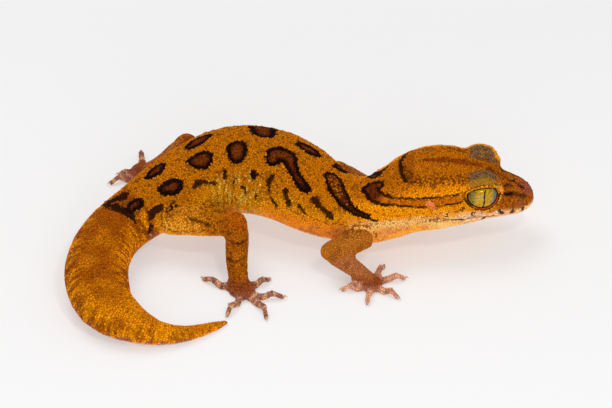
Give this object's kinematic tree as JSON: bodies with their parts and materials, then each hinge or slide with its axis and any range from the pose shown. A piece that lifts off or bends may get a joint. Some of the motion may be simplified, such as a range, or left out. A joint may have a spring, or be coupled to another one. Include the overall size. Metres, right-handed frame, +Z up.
{
  "type": "clouded bent-toed gecko",
  "caption": "A still life-size model of a small ground gecko, standing on spread toes with its fat tail curled forward on the floor.",
  "frame": {"origin": "the middle of the bounding box's base, on the floor", "axes": "+X towards the snout, +Y towards the animal's left, +Z up"},
  "size_m": [0.0634, 0.0444, 0.013],
  "materials": {
    "head_skin": "fine matt scales, golden brown",
    "back_skin": "fine matt scales, golden orange with dark ringed blotches",
    "tail_skin": "fine ringed scales, orange brown",
    "limb_skin": "fine matt scales, brown",
    "toe_skin": "small plates, reddish brown, with pale claws",
    "eyeball": "clear and glossy over a gold iris"
  },
  "bodies": {
    "root": {"head": "head_skin", "neck": "back_skin", "torso_front": "back_skin", "torso_rear": "back_skin", "tail_base": "tail_skin", "tail_middle": "tail_skin", "tail_tip": "tail_skin", "upper_arm_right": "limb_skin", "upper_arm_left": "limb_skin", "forearm_right": "limb_skin", "forearm_left": "limb_skin", "thigh_right": "limb_skin", "thigh_left": "limb_skin", "shank_right": "limb_skin", "shank_left": "limb_skin", "hand_right": "toe_skin", "hand_left": "toe_skin", "foot_right": "toe_skin", "foot_left": "toe_skin", "eye_right": "eyeball", "eye_left": "eyeball"}
  },
  "joints": []
}
